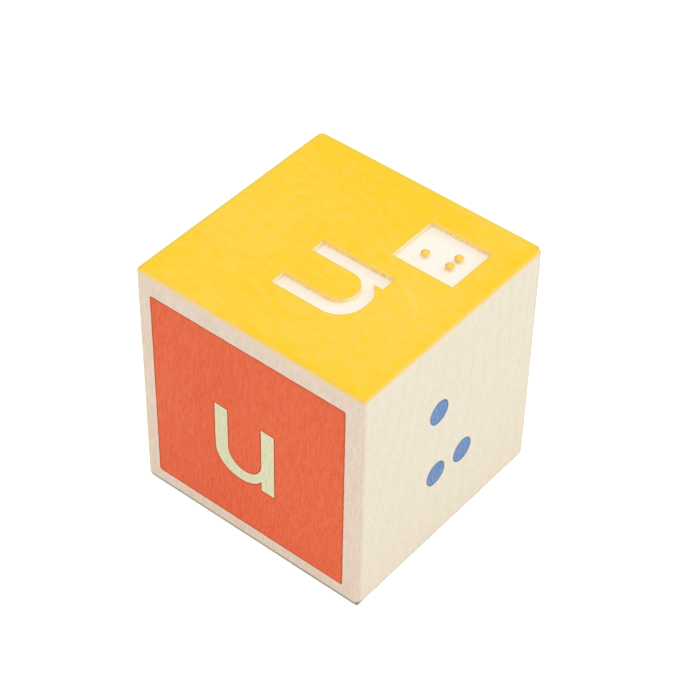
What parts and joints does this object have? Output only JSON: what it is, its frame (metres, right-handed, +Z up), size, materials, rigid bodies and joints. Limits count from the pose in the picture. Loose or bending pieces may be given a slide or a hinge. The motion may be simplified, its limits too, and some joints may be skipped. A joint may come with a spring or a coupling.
{
  "type": "alphabet block",
  "caption": "Solid wooden alphabet block with eased edges, a letter and Braille cell carved into its painted top, a printed letter panel on its front and a printed Braille cell on its side.",
  "frame": {"origin": "centre of the base", "axes": "+Z up along the grain, through the carved and painted top face; -Y out of the face with the printed letter; +X out of the face with the printed Braille dots; the carved letter's head points to -X"},
  "size_m": [0.0444, 0.044, 0.0457],
  "materials": {
    "wood": "bare, fine-sanded basswood",
    "yellow_paint": "thin satin paint, slightly mottled over end grain",
    "orange_ink": "matt printed ink with faint streaks along the grain",
    "letter_ink": "matt printed ink, pale green-cream",
    "blue_ink": "matt printed ink, soft blue"
  },
  "bodies": {
    "root": {"block_body": "wood", "top_face_paint": "yellow_paint", "braille_dot_1_paint": "yellow_paint", "braille_dot_3_paint": "yellow_paint", "braille_dot_6_paint": "yellow_paint", "front_panel_ink": "orange_ink", "front_letter_ink": "letter_ink", "side_dot_1_ink": "blue_ink", "side_dot_3_ink": "blue_ink", "side_dot_6_ink": "blue_ink", "back_panel_ink": "blue_ink"}
  },
  "joints": []
}
